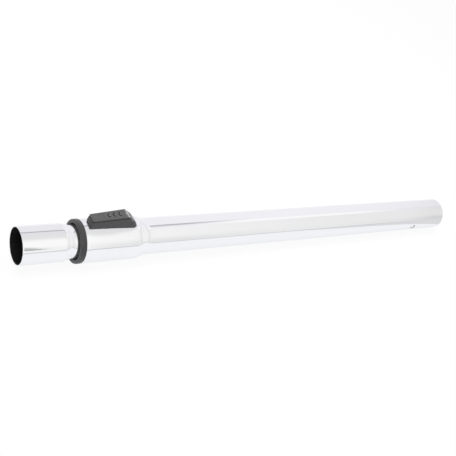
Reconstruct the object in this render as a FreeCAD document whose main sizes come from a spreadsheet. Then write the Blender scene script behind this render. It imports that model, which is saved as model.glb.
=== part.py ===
"""Telescopic vacuum wand: two chromed tubes, a collar, a slide button and the lock under it.

The wand lies along X. The origin is the centre of the handle socket's mouth, +X points to the
nozzle end and the button stands on top, towards +Z. All sizes are in millimetres.
"""
import FreeCAD, Part
import Sketcher
import os

V = FreeCAD.Vector
NEAR = 0.01
LEAST_CUT = 1e-6

doc = FreeCAD.newDocument("vacuum_wand")
sheet = doc.addObject("Spreadsheet::Sheet", "sizes")

SIZES = {
    # tubes
    "tube_wall": 0.9,
    "outer_radius": 17.5,
    "outer_length": 476.8,
    "slide_room": 1.1,
    "inner_setback": 60.0,
    "socket_step": 1.0,
    "socket_length": 41.0,
    "shoulder_length": 6.0,
    "shoulder_round": 4.0,
    # head of the outer tube
    "head_step": 3.0,
    "head_length": 52.8,
    "taper_length": 12.0,
    "taper_round": 8.0,
    # dimple near the nozzle end, for the latch of a floor tool
    "dimple_setback": 48.0,
    "dimple_angle": 103.0,
    "dimple_depth": 1.2,
    "dimple_ball": 5.0,
    "dimple_boss": 4.0,
    "dimple_bevel": 0.4,
    # flat track on the inner tube
    "track_depth": 0.6,
    "track_lead": 10.0,
    "track_margin": 2.0,
    # clearances
    "park_gap": 4.4,
    "running_gap": 0.2,
    "seat_gap": 0.1,
    "pin_gap": 0.03,
    "button_gap": 0.25,
    "guide_gap": 0.3,
    "window_margin": 1.0,
    # collar and wiper
    "collar_flange": 5.8,
    "collar_step": 0.1,
    "collar_bevel": 0.9,
    "collar_lead": 1.8,
    "collar_lead_length": 2.6,
    "collar_lip": 0.9,
    "wiper_width": 3.6,
    "wiper_thick": 2.4,
    # guide sleeve
    "sleeve_inset": 2.0,
    "bay_wall_front": 6.2,
    "bay_floor": 0.9,
    "bay_width": 12.2,
    # lock
    "stroke": 5.0,
    "pin_lift": 0.5,
    "pin_radius": 1.5,
    "pin_length": 10.0,
    "pin_chamfer": 0.3,
    "wedge_front": 5.1,
    "wedge_back": 4.5,
    "wedge_tail": 3.8,
    "wedge_top_width": 7.8,
    "wing_height": 2.2,
    "recess_front": 2.4,
    "recess_back": 1.0,
    "window_corner": 1.5,
    # button
    "button_setback": 4.6,
    "button_length": 48.2,
    "button_narrow": 12.0,
    "button_wide": 16.6,
    "nose_rake": 2.0,
    "tail_rake": 11.0,
    "button_top_narrow": 10.0,
    "button_top_wide": 12.1,
    "button_low": 6.8,
    "button_high": 10.0,
    "button_skirt": 2.6,
    "button_wall": 1.8,
    "button_bevel": 0.7,
    "nose_bevel": 1.2,
    "tail_bevel": 2.0,
    "leg_width": 4.4,
    "leg_front": 3.0,
    "leg_back": 2.0,
    "leg_inset": 1.0,
    "leg_depth": 3.2,
    # arrow marks on the button
    "arrow_setback": 7.0,
    "arrow_pitch": 5.2,
    "arrow_reach": 2.0,
    "arrow_half": 2.6,
    "arrow_line": 1.2,
    "arrow_depth": 0.35,
    # folded strip spring
    "spring_room": 11.0,
    "spring_height": 2.4,
    "spring_half": 3.6,
    "spring_rise": 1.0,
    # far end of the inner tube
    "seal_length": 5.0,
    "seal_band": 2.0,
    "seal_edge": 0.35,
    "bush_length": 12.0,
    "bush_lip": 2.0,
}

ARROWS = 3
SPRING_FOLDS = 6

DERIVED = {
    "outer_bore": "outer_radius - tube_wall",
    "inner_radius": "outer_bore - slide_room",
    "inner_bore": "inner_radius - tube_wall",
    "head_radius": "outer_radius + head_step",
    "head_bore": "head_radius - tube_wall",
    "collar_radius": "head_radius - collar_step",
    "socket_radius": "inner_radius + socket_step",
    "bell_radius": "socket_radius + tube_wall",
    "shoulder_end": "socket_length + shoulder_length",
    "collar_start": "shoulder_end + park_gap",
    "head_start": "collar_start + collar_flange",
    "head_end": "head_start + head_length",
    "taper_end": "head_end + taper_length",
    "outer_end": "head_start + outer_length",
    "dimple_place": "outer_end - dimple_setback",
    "boss_floor": "outer_radius - dimple_depth - tube_wall",
    "inner_end": "outer_end - inner_setback",
    "bush_start": "inner_end - bush_length",
    "bush_bore": "inner_radius + seat_gap / 2",
    "bush_outer": "outer_bore - running_gap",
    "seal_end": "bush_start - seat_gap",
    "seal_start": "seal_end - seal_length",
    "track_start": "shoulder_end + track_lead",
    "track_end": "seal_start - track_margin",
    "track_height": "inner_radius - track_depth",
    "track_floor": "track_height - tube_wall",
    "slide_bore": "inner_radius + running_gap",
    "seat_radius": "head_bore - seat_gap",
    "wiper_start": "head_start + collar_lip",
    "wiper_end": "wiper_start + wiper_width",
    "wiper_outer": "slide_bore + wiper_thick",
    "sleeve_start": "wiper_end + seat_gap",
    "sleeve_end": "head_end - sleeve_inset",
    "key_height": "track_height + running_gap",
    "bay_base": "key_height + bay_floor",
    "bay_start": "sleeve_start + bay_wall_front",
    "wedge_start": "bay_start + spring_room",
    "recess_start": "wedge_start + wedge_front",
    "pin_place": "recess_start + recess_front + pin_radius",
    "pin_height": "track_height + pin_radius + pin_gap",
    "pin_top": "pin_height + pin_radius + pin_gap",
    "ramp_end": "pin_place + stroke",
    "recess_end": "ramp_end + pin_radius + recess_back",
    "wedge_top_end": "recess_end + wedge_back",
    "wedge_end": "wedge_top_end + wedge_tail",
    "bay_end": "wedge_end + running_gap",
    "wedge_base": "bay_base + running_gap",
    "wedge_top": "head_radius - running_gap",
    "wing_top": "wedge_base + wing_height",
    "wing_width": "bay_width - 2 * guide_gap",
    "window_start": "wedge_start - stroke - window_margin",
    "window_end": "wedge_top_end + window_margin",
    "window_width": "wedge_top_width + 2 * guide_gap",
    "button_start": "head_start + button_setback",
    "button_end": "button_start + button_length",
    "button_top_start": "button_start + nose_rake",
    "button_top_end": "button_end - tail_rake",
    "button_seat": "head_radius + button_gap",
    "button_base": "button_seat - button_skirt",
    "button_crest_low": "button_seat + button_low",
    "button_crest_high": "button_seat + button_high",
    "button_slope": "atan((button_high - button_low) / (button_top_end - button_top_start))",
    "button_slope_start": "button_crest_low - nose_rake * tan(button_slope)",
    "leg_foot": "wedge_top - leg_depth",
    "front_leg_start": "wedge_start + leg_inset",
    "back_leg_end": "wedge_top_end - leg_inset",
    "spring_start": "bay_start + seat_gap",
    "spring_fold": "(spring_room - 2 * seat_gap) / " + str(SPRING_FOLDS),
}


def fill_sheet():
    """Driving sizes go in columns A and B, worked-out sizes in columns D and E."""
    for row, (name, value) in enumerate(SIZES.items(), start=1):
        sheet.set(f"A{row}", name)
        sheet.set(f"B{row}", str(value))
        sheet.setAlias(f"B{row}", name)
    for row, (name, formula) in enumerate(DERIVED.items(), start=1):
        sheet.set(f"D{row}", name)
        sheet.set(f"E{row}", "=" + formula)
        sheet.setAlias(f"E{row}", name)
    doc.recompute()


def formula(text):
    """A formula in the sheet's own names, as other objects write it."""
    words = []
    word = ""
    for mark in text + " ":
        if mark.isalnum() or mark == "_":
            word += mark
            continue
        if word in SIZES or word in DERIVED:
            word = "sizes." + word
        words.append(word + mark)
        word = ""
    return "".join(words).strip()


def bind(thing, prop, text):
    thing.setExpression(prop, formula(text))


def new_body(name):
    body = doc.addObject("PartDesign::Body", name)
    body.Label = name
    return body


def origin_part(body, role):
    return next(part for part in body.Origin.OriginFeatures if part.Role == role)


def new_sketch(body, name, plane, lift=None):
    """A sketch on one of the body's origin planes, lifted along its normal by a formula."""
    sketch = body.newObject("Sketcher::SketchObject", name)
    sketch.AttachmentSupport = [(origin_part(body, plane), "")]
    sketch.MapMode = "FlatFace"
    if lift:
        bind(sketch, ".AttachmentOffset.Base.z", lift)
    return sketch


def pin_down(sketch, line, end, axis, text):
    """Holds one coordinate of a corner at a formula measured from the sketch's origin."""
    if text == "0":
        axis_line = -1 if axis == "DistanceY" else -2
        sketch.addConstraint(Sketcher.Constraint("PointOnObject", line, end, axis_line))
        return
    if text.startswith("-"):
        rule = Sketcher.Constraint(axis, line, end, -1, 1, 1.0)
        text = text[1:]
    else:
        rule = Sketcher.Constraint(axis, -1, 1, line, end, 1.0)
    index = sketch.addConstraint(rule)
    bind(sketch, f"Constraints[{index}]", text)


def number(text):
    """The present value of a formula, used to draw a sketch near its solved place."""
    value = sheet.evalExpression(text)
    return float(getattr(value, "Value", value))


def outline(sketch, corners):
    """A closed outline of straight lines whose corners are pairs of formulas."""
    places = [V(number(x), number(y), 0) for x, y in corners]
    count = len(corners)
    for i in range(count):
        sketch.addGeometry(Part.LineSegment(places[i], places[(i + 1) % count]), False)
    for i in range(count):
        sketch.addConstraint(Sketcher.Constraint("Coincident", i, 2, (i + 1) % count, 1))
    for i, (x, y) in enumerate(corners):
        pin_down(sketch, i, 1, "DistanceX", x)
        pin_down(sketch, i, 1, "DistanceY", y)


def rectangle(x0, y0, x1, y1):
    return [(x0, y0), (x1, y0), (x1, y1), (x0, y1)]


def turned(body, name, corners):
    """A profile in the XZ plane turned once round the wand's axis."""
    sketch = new_sketch(body, name + "_profile", "XZ_Plane")
    outline(sketch, corners)
    turn = body.newObject("PartDesign::Revolution", name)
    turn.Profile = sketch
    turn.ReferenceAxis = (origin_part(body, "X_Axis"), [""])
    turn.Angle = 360
    doc.recompute()
    return turn


def slab(body, name, corners, width):
    """A profile in the XZ plane made as thick as width, half to each side."""
    sketch = new_sketch(body, name + "_profile", "XZ_Plane")
    outline(sketch, corners)
    pad = body.newObject("PartDesign::Pad", name)
    pad.Profile = sketch
    pad.SideType = "Symmetric"
    bind(pad, "Length", width)
    doc.recompute()
    return pad


def checked_cut(body, cut, before):
    """A cut that takes nothing away is a mistake in its direction."""
    doc.recompute()
    if body.Shape.Volume >= before - LEAST_CUT:
        raise RuntimeError(cut.Label + " cuts nothing")


def slot(body, name, corners, width):
    """A profile in the XZ plane cut out as wide as width, half to each side."""
    before = body.Shape.Volume
    sketch = new_sketch(body, name + "_profile", "XZ_Plane")
    outline(sketch, corners)
    cut = body.newObject("PartDesign::Pocket", name)
    cut.Profile = sketch
    cut.SideType = "Symmetric"
    bind(cut, "Length", width)
    checked_cut(body, cut, before)
    return cut


def edges_where(feature, test):
    """Names of the feature's edges whose middle passes the test."""
    names = []
    for index, edge in enumerate(feature.Shape.Edges, start=1):
        middle = edge.valueAt((edge.FirstParameter + edge.LastParameter) / 2)
        if test(edge, middle):
            names.append(f"Edge{index}")
    return names


def rounded(body, name, test, radius):
    """A fillet on the edges of the body's tip that pass the test."""
    tip = body.Tip
    fillet = body.newObject("PartDesign::Fillet", name)
    fillet.Base = (tip, edges_where(tip, test))
    bind(fillet, "Radius", radius)
    doc.recompute()
    return fillet


def bevelled(body, name, test, size):
    """A chamfer on the edges of the body's tip that pass the test."""
    tip = body.Tip
    chamfer = body.newObject("PartDesign::Chamfer", name)
    chamfer.Base = (tip, edges_where(tip, test))
    bind(chamfer, "Size", size)
    doc.recompute()
    return chamfer


def reach(point):
    """Distance of a point from the wand's axis."""
    return (point.y ** 2 + point.z ** 2) ** 0.5


def ring_edge(place, radius):
    """A test for the round edge at a place along the axis and a radius."""
    x = number(place)
    r = number(radius)

    def test(edge, middle):
        return abs(middle.x - x) < NEAR and abs(reach(middle) - r) < NEAR
    return test


def either(*tests):
    return lambda edge, middle: any(test(edge, middle) for test in tests)


def make_outer_tube():
    body = new_body("outer_tube")
    turned(body, "outer_wall", [
        ("head_start", "head_bore"), ("head_start", "head_radius"),
        ("head_end", "head_radius"), ("taper_end", "outer_radius"),
        ("outer_end", "outer_radius"), ("outer_end", "outer_bore"),
        ("taper_end", "outer_bore"), ("head_end", "head_bore"),
    ])
    rounded(body, "outer_bends", either(
        ring_edge("head_end", "head_radius"), ring_edge("taper_end", "outer_radius"),
        ring_edge("head_end", "head_bore"), ring_edge("taper_end", "outer_bore"),
    ), "taper_round")
    before = body.Shape.Volume
    plan = new_sketch(body, "window_plan", "XY_Plane")
    outline(plan, rectangle("window_start", "-window_width / 2", "window_end", "window_width / 2"))
    window = body.newObject("PartDesign::Pocket", "window")
    window.Profile = plan
    window.Reversed = True
    window.Type = "ThroughAll"
    checked_cut(body, window, before)
    half = number("window_width / 2")
    ends = (number("window_start"), number("window_end"))
    rounded(body, "window_corners", lambda edge, middle: (
        min(abs(middle.x - end) for end in ends) < NEAR and abs(abs(middle.y) - half) < NEAR
    ), "window_corner")
    press_dimple(body)
    return body


def aim(feature, distance):
    """Turns a feature to the dimple's side and moves it out from the axis by a formula."""
    side = FreeCAD.Rotation(V(1, 0, 0), number("dimple_angle"))
    feature.AttachmentOffset = FreeCAD.Placement(V(0, 0, 0), side)
    bind(feature, ".AttachmentOffset.Rotation.Angle", "dimple_angle")
    bind(feature, ".AttachmentOffset.Base.x", "dimple_place")
    bind(feature, ".AttachmentOffset.Base.y", f"-({distance}) * sin(dimple_angle)")
    bind(feature, ".AttachmentOffset.Base.z", f"({distance}) * cos(dimple_angle)")


def press_dimple(body):
    """A ball-shaped dimple; the boss inside is the metal that the punch pushed in."""
    plan = new_sketch(body, "dimple_plan", "XY_Plane")
    aim(plan, "boss_floor")
    plan.addGeometry(Part.Circle(V(0, 0, 0), V(0, 0, 1), number("dimple_boss")), False)
    plan.addConstraint(Sketcher.Constraint("Coincident", 0, 3, -1, 1))
    size = plan.addConstraint(Sketcher.Constraint("Radius", 0, number("dimple_boss")))
    bind(plan, f"Constraints[{size}]", "dimple_boss")
    boss = body.newObject("PartDesign::Pad", "dimple_boss_pad")
    boss.Profile = plan
    bind(boss, "Length", "outer_bore + tube_wall / 3 - boss_floor")
    doc.recompute()
    side = FreeCAD.Rotation(V(1, 0, 0), number("dimple_angle"))
    centre = V(number("dimple_place"), 0, 0) + side.multVec(V(0, 0, number("boss_floor")))
    rim = number("dimple_boss")
    bevelled(body, "boss_edge", lambda edge, middle: (
        abs(middle.distanceToPoint(centre) - rim) < NEAR), "dimple_bevel")
    before = body.Shape.Volume
    ball = body.newObject("PartDesign::SubtractiveSphere", "dimple")
    ball.AttachmentSupport = [(origin_part(body, "XY_Plane"), "")]
    ball.MapMode = "FlatFace"
    bind(ball, "Radius", "dimple_ball")
    aim(ball, "outer_radius - dimple_depth + dimple_ball")
    checked_cut(body, ball, before)


def make_inner_tube():
    """The bell is the handle's socket; the flat track on top is where the lock pin grips."""
    body = new_body("inner_tube")
    turned(body, "inner_wall", [
        ("0", "socket_radius"), ("0", "bell_radius"),
        ("socket_length", "bell_radius"), ("shoulder_end", "inner_radius"),
        ("inner_end", "inner_radius"), ("inner_end", "inner_bore"),
        ("shoulder_end", "inner_bore"), ("socket_length", "socket_radius"),
    ])
    rounded(body, "inner_bends", either(
        ring_edge("socket_length", "bell_radius"), ring_edge("shoulder_end", "inner_radius"),
        ring_edge("socket_length", "socket_radius"), ring_edge("shoulder_end", "inner_bore"),
    ), "shoulder_round")
    slab(body, "track_backing", rectangle("track_start", "track_floor", "track_end", "track_height"),
         "2 * sqrt(inner_bore ^ 2 - track_floor ^ 2) + tube_wall / 4")
    slot(body, "track", rectangle("track_start", "track_height", "track_end", "inner_radius + tube_wall"),
         "2 * inner_radius")
    return body


def make_collar_ring():
    """The flange closes the mouth of the head and the spigot behind it holds the wiper."""
    body = new_body("collar_ring")
    turned(body, "collar_section", [
        ("collar_start", "slide_bore + collar_lead"), ("collar_start", "collar_radius - collar_bevel"),
        ("collar_start + collar_bevel", "collar_radius"),
        ("head_start", "collar_radius"), ("head_start", "seat_radius"),
        ("wiper_end", "seat_radius"), ("wiper_end", "wiper_outer + seat_gap"),
        ("wiper_start", "wiper_outer + seat_gap"), ("wiper_start", "slide_bore + running_gap"),
        ("collar_start + collar_lead_length", "slide_bore + running_gap"),
    ])
    return body


def make_wiper_ring():
    body = new_body("wiper_ring")
    turned(body, "wiper_section", rectangle("wiper_start + seat_gap", "slide_bore",
                                            "wiper_end", "wiper_outer"))
    return body


def make_guide_sleeve():
    """A key in the bore rides on the tube's flat track; the bay on top houses the lock."""
    body = new_body("guide_sleeve")
    turned(body, "sleeve_wall", rectangle("sleeve_start", "slide_bore", "sleeve_end", "seat_radius"))
    slab(body, "sleeve_key", rectangle("sleeve_start", "key_height", "sleeve_end", "bay_base"),
         "2 * sqrt(slide_bore ^ 2 - key_height ^ 2) + tube_wall / 4")
    slot(body, "lock_bay", rectangle("bay_start", "bay_base", "bay_end", "head_radius"), "bay_width")
    slot(body, "pin_slot", rectangle("pin_place - pin_radius - pin_gap", "track_floor",
                                     "pin_place + pin_radius + pin_gap", "bay_base + tube_wall"),
         "pin_length + 2 * running_gap")
    return body


def make_lock_pin():
    """A chamfered steel pin across the track."""
    body = new_body("lock_pin")
    plan = new_sketch(body, "pin_profile", "XY_Plane")
    outline(plan, [
        ("0", "-pin_length / 2"), ("pin_radius - pin_chamfer", "-pin_length / 2"),
        ("pin_radius", "-(pin_length / 2 - pin_chamfer)"), ("pin_radius", "pin_length / 2 - pin_chamfer"),
        ("pin_radius - pin_chamfer", "pin_length / 2"), ("0", "pin_length / 2"),
    ])
    turn = body.newObject("PartDesign::Revolution", "pin_turning")
    turn.Profile = plan
    turn.ReferenceAxis = (origin_part(body, "Y_Axis"), [""])
    turn.Angle = 360
    bind(body, ".Placement.Base.x", "pin_place")
    bind(body, ".Placement.Base.z", "pin_height")
    doc.recompute()
    return body


def make_lock_wedge():
    """The ramp over the pin rises towards the nozzle end, so the pin is freed as the carriage moves
    towards the collar. The wings run under the head's wall and hold the button on."""
    body = new_body("lock_wedge")
    slab(body, "wedge_block", [
        ("wedge_start", "wedge_base"), ("recess_start", "wedge_base"), ("recess_start", "pin_top"),
        ("pin_place", "pin_top"), ("ramp_end", "pin_top + pin_lift"),
        ("recess_end", "pin_top + pin_lift"), ("recess_end", "wedge_base"),
        ("wedge_top_end", "wedge_base"), ("wedge_top_end", "wedge_top"), ("wedge_start", "wedge_top"),
    ], "wedge_top_width")
    slab(body, "front_wings", rectangle("wedge_start", "wedge_base", "recess_start", "wing_top"),
         "wing_width")
    slab(body, "back_wings", rectangle("recess_end", "wedge_base", "wedge_end", "wing_top"),
         "wing_width")
    slot(body, "front_socket", rectangle("front_leg_start - seat_gap / 2", "leg_foot - seat_gap / 2",
                                         "front_leg_start + leg_front + seat_gap / 2", "head_radius"),
         "leg_width + seat_gap")
    slot(body, "back_socket", rectangle("back_leg_end - leg_back - seat_gap / 2", "leg_foot - seat_gap / 2",
                                        "back_leg_end + seat_gap / 2", "head_radius"),
         "leg_width + seat_gap")
    return body


def half_plan(body, name, lift, inset, start, end, narrow, wide):
    """Half of the button's plan, on the far side of the wand, at one height and inset by its wall."""
    sketch = new_sketch(body, name, "XY_Plane", lift)
    outline(sketch, [
        (f"{start} + {inset}", "0"), (f"{end} - {inset}", "0"),
        (f"{end} - {inset}", f"{wide} / 2 - {inset} - tail_bevel"),
        (f"{end} - {inset} - tail_bevel", f"{wide} / 2 - {inset}"),
        (f"{start} + {inset} + nose_bevel", f"{narrow} / 2 - {inset}"),
        (f"{start} + {inset}", f"{narrow} / 2 - {inset} - nose_bevel"),
    ])
    return sketch


def half_loft(body, kind, name, foot, crest):
    """A straight-sided loft between two half plans, doubled across the wand's middle plane."""
    loft = body.newObject(kind, name)
    loft.Profile = foot
    loft.Sections = [crest]
    loft.Ruled = True
    doc.recompute()
    mirrored(body, loft)


def mirrored(body, feature):
    copy = body.newObject("PartDesign::Mirrored", feature.Name + "_mirror")
    copy.Originals = [feature]
    copy.MirrorPlane = (origin_part(body, "XZ_Plane"), [""])
    body.Tip = copy
    doc.recompute()
    return copy


def make_slide_button():
    """A hollow ridge, lower and narrower towards the collar, with two legs through the window."""
    body = new_body("slide_button")
    foot = ("button_start", "button_end", "button_narrow", "button_wide")
    crest = ("button_top_start", "button_top_end", "button_top_narrow", "button_top_wide")
    half_loft(body, "PartDesign::AdditiveLoft", "ridge",
              half_plan(body, "foot_plan", "button_base", "0", *foot),
              half_plan(body, "crest_plan", "button_crest_high", "0", *crest))
    slot(body, "sloping_top", [
        ("button_start", "button_slope_start"), ("button_top_end", "button_crest_high"),
        ("button_top_end", "button_crest_high + button_wall"),
        ("button_start", "button_crest_high + button_wall"),
    ], "2 * button_wide")
    crest_line = number("button_slope_start") - NEAR
    bevelled(body, "crest_edge", lambda edge, middle: (
        min(end.Point.z for end in edge.Vertexes) > crest_line), "button_bevel")
    before = body.Shape.Volume
    saddle = new_sketch(body, "saddle_plan", "YZ_Plane")
    saddle.addGeometry(Part.Circle(V(0, 0, 0), V(0, 0, 1), number("button_seat")), False)
    saddle.addConstraint(Sketcher.Constraint("Coincident", 0, 3, -1, 1))
    size = saddle.addConstraint(Sketcher.Constraint("Radius", 0, number("button_seat")))
    bind(saddle, f"Constraints[{size}]", "button_seat")
    cut = body.newObject("PartDesign::Pocket", "saddle")
    cut.Profile = saddle
    cut.Type = "ThroughAll"
    cut.SideType = "Symmetric"
    checked_cut(body, cut, before)
    before = body.Shape.Volume
    half_loft(body, "PartDesign::SubtractiveLoft", "hollow",
              half_plan(body, "hollow_foot", "button_base", "button_wall", *foot),
              half_plan(body, "hollow_roof", "button_crest_low - button_wall", "button_wall", *crest))
    checked_cut(body, body.Tip, before)
    slab(body, "front_leg", rectangle("front_leg_start", "leg_foot", "front_leg_start + leg_front",
                                      "button_crest_low - button_wall / 2"), "leg_width")
    slab(body, "back_leg", rectangle("back_leg_end - leg_back", "leg_foot", "back_leg_end",
                                     "button_crest_low - button_wall / 2"), "leg_width")
    cut_arrows(body)
    return body


def cut_arrows(body):
    """Arrow heads in the sloping top that point the way the button is pushed."""
    for index in range(ARROWS):
        before = body.Shape.Volume
        mark = new_sketch(body, f"arrow_plan_{index}", "XY_Plane")
        slope = FreeCAD.Rotation(V(0, -1, 0), number("button_slope"))
        mark.AttachmentOffset = FreeCAD.Placement(V(0, 0, 0), slope)
        bind(mark, ".AttachmentOffset.Rotation.Angle", "button_slope")
        bind(mark, ".AttachmentOffset.Base.x", "button_top_end")
        bind(mark, ".AttachmentOffset.Base.z", "button_crest_high")
        tip = f"-(arrow_setback + {index} * arrow_pitch + arrow_reach)"
        tail = f"-(arrow_setback + {index} * arrow_pitch)"
        inner_tip = f"-(arrow_setback + {index} * arrow_pitch + arrow_reach - arrow_line)"
        inner_tail = f"-(arrow_setback + {index} * arrow_pitch - arrow_line)"
        outline(mark, [
            (tip, "0"), (tail, "arrow_half"), (inner_tail, "arrow_half"),
            (inner_tip, "0"), (inner_tail, "-arrow_half"), (tail, "-arrow_half"),
        ])
        groove = body.newObject("PartDesign::Pocket", f"arrow_{index}")
        groove.Profile = mark
        bind(groove, "Length", "arrow_depth")
        checked_cut(body, groove, before)


def make_return_spring():
    """A strip folded to and fro between the bay's front wall and the carriage."""
    body = new_body("return_spring")
    plan = new_sketch(body, "spring_plan", "XY_Plane", "wedge_base")
    upper_side = []
    lower_side = []
    for fold in range(SPRING_FOLDS + 1):
        place = f"spring_start + {fold} * spring_fold"
        wide = "spring_half + spring_rise"
        slim = "spring_half - spring_rise"
        upper_side.append((place, wide if fold % 2 else f"-({slim})"))
        lower_side.append((place, slim if fold % 2 else f"-({wide})"))
    outline(plan, upper_side + lower_side[::-1])
    strip = body.newObject("PartDesign::Pad", "spring_strip_pad")
    strip.Profile = plan
    bind(strip, "Length", "spring_height")
    doc.recompute()
    return body


def make_end_bush():
    """Glides in the outer tube; its lip covers the cut end of the inner tube."""
    body = new_body("end_bush")
    turned(body, "bush_section", [
        ("bush_start", "bush_bore"), ("bush_start", "bush_outer"),
        ("inner_end + bush_lip", "bush_outer"), ("inner_end + bush_lip", "inner_bore + seat_gap"),
        ("inner_end", "inner_bore + seat_gap"), ("inner_end", "bush_bore"),
    ])
    return body


def make_end_seal():
    """A rubber band with a lip that leans towards the nozzle end."""
    body = new_body("end_seal")
    turned(body, "seal_section", [
        ("seal_start", "bush_bore"), ("seal_end", "bush_bore"),
        ("seal_end", "bush_outer"),
        ("seal_end - 2 * seal_edge", "bush_outer"),
        ("seal_start + seal_band", "bush_bore + seal_edge"), ("seal_start", "bush_bore + seal_edge"),
    ])
    return body


def export(pieces):
    """Every object has to be sound before any file is written."""
    doc.recompute()
    failed = [o.Label for o in doc.Objects if "Invalid" in o.State or "Error" in o.State]
    if failed:
        raise RuntimeError("failed objects: " + ", ".join(failed))
    for piece in pieces:
        shape = piece.Shape
        if shape.isNull() or not shape.isValid() or not shape.Solids:
            raise RuntimeError(piece.Label + " has no sound solid")
    os.makedirs("parts", exist_ok=True)
    for piece in pieces:
        piece.Shape.exportStep(f"parts/{piece.Label}.step")
        print(piece.Label, len(piece.Shape.Solids), round(piece.Shape.Volume, 1))


fill_sheet()
export([
    make_outer_tube(), make_inner_tube(), make_collar_ring(), make_wiper_ring(), make_guide_sleeve(),
    make_lock_pin(), make_lock_wedge(), make_slide_button(), make_return_spring(), make_end_bush(),
    make_end_seal(),
])
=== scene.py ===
import math

import bmesh
import bpy
from mathutils import Matrix, Vector


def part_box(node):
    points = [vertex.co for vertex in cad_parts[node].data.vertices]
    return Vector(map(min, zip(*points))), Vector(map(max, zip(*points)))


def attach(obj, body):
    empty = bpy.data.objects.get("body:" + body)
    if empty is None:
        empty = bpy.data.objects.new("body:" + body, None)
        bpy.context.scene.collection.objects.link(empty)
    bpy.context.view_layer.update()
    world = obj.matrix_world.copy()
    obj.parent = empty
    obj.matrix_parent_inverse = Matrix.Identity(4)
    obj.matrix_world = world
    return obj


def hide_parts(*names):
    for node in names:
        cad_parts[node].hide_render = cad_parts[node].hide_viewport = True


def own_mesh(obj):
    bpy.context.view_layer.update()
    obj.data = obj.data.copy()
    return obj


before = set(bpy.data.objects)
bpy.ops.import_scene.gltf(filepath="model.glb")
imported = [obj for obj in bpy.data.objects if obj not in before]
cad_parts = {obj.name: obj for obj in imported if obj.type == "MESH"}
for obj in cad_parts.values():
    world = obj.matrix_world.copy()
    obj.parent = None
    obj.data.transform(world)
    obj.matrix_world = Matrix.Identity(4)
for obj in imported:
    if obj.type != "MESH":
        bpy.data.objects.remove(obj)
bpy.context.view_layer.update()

MM = 0.001
TURN = 2 * math.pi
HALVINGS = 40

# places of a mix node's share and colour sockets
MIX_SHARE, MIX_FIRST, MIX_SECOND = 0, 6, 7
MIX_RESULT = 2

# places and sizes read from the frame, in metres
HEAD_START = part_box("outer_tube")[0].x
OUTER_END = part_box("outer_tube")[1].x
HEAD_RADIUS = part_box("outer_tube")[1].y
BELL_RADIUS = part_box("inner_tube")[1].y
INNER_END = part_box("inner_tube")[1].x
COLLAR_START, COLLAR_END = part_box("collar_ring")[0].x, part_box("collar_ring")[1].x
COLLAR_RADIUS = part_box("collar_ring")[1].y
BUTTON_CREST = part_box("slide_button")[1].z
BUTTON_LEG_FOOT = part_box("slide_button")[0].z
SPRING_START, SPRING_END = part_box("return_spring")[0].x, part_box("return_spring")[1].x
SPRING_LOW, SPRING_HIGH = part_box("return_spring")[0].z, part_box("return_spring")[1].z
SPRING_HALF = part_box("return_spring")[1].y

# tubes
WALL = 0.9 * MM
RIM_ROUND = 0.3 * MM
OUTER_RADIUS = 17.5 * MM
INNER_RADIUS = 15.5 * MM
HEAD_LENGTH = 52.8 * MM
HEAD_ROLL = 0.75 * MM
HEAD_ROLL_LENGTH = 4.4 * MM
TAPER_LENGTH = 12.0 * MM
TAPER_BLEND = 2.0 * MM
SOCKET_LENGTH = 41.0 * MM
SHOULDER_LENGTH = 6.0 * MM
SHOULDER_BLEND = 1.5 * MM
TRACK_DEPTH = 0.6 * MM
TRACK_START = 57.0 * MM
TRACK_END = 454.9 * MM
WINDOW_START, WINDOW_END = 73.0 * MM, 101.0 * MM
WINDOW_WIDTH = 8.4 * MM
DIMPLE_PLACE = OUTER_END - 48.0 * MM
DIMPLE_TURN = math.radians(103.0)
DIMPLE_DEPTH = 1.2 * MM
DIMPLE_BALL = 5.0 * MM
# painted shade on the dimple's steep edge: a ring between these distances from its middle, kept to two arcs
# along the wand
DIMPLE_SHADE_RING = (2.7 * MM, 3.4 * MM)
DIMPLE_SHADE_SPAN = 0.25

# how finely the tubes are divided, round and along
TUBE_SEGMENTS = 144
ANGLES_APART = 0.004
RIM_STEPS = 6
NEAR_RIM = 1.0 * MM
ROLL_STEPS = 9
TAPER_STEPS = 25
STRAIGHT_STEPS = 14
AFTER_TAPER = 12.0 * MM
BEFORE_DIMPLE = 6.0 * MM
AFTER_DIMPLE = 8.0 * MM
DIMPLE_GRID = 4.0 * MM
DIMPLE_STEPS = 33
SOCKET_FIRST, SOCKET_SHY = 4.0 * MM, 3.0 * MM
SOCKET_STEPS = 8
SHOULDER_STEPS = 19
TRACK_EDGE = 0.05 * MM
TRACK_FIRST, TRACK_LAST = 80.0 * MM, 440.0 * MM
TRACK_STEPS = 12

# collar
COLLAR_BORE = 15.9 * MM
COLLAR_SEAT = 19.5 * MM
COLLAR_LEAD = 1.4 * MM
COLLAR_LEAD_LENGTH = 2.0 * MM
COLLAR_ROUND = 1.7 * MM
COLLAR_SMALL_ROUND = 0.25 * MM
COLLAR_SHY = 0.6 * MM
COLLAR_LIP = 0.9 * MM
WIPER_BORE = 18.2 * MM

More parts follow.
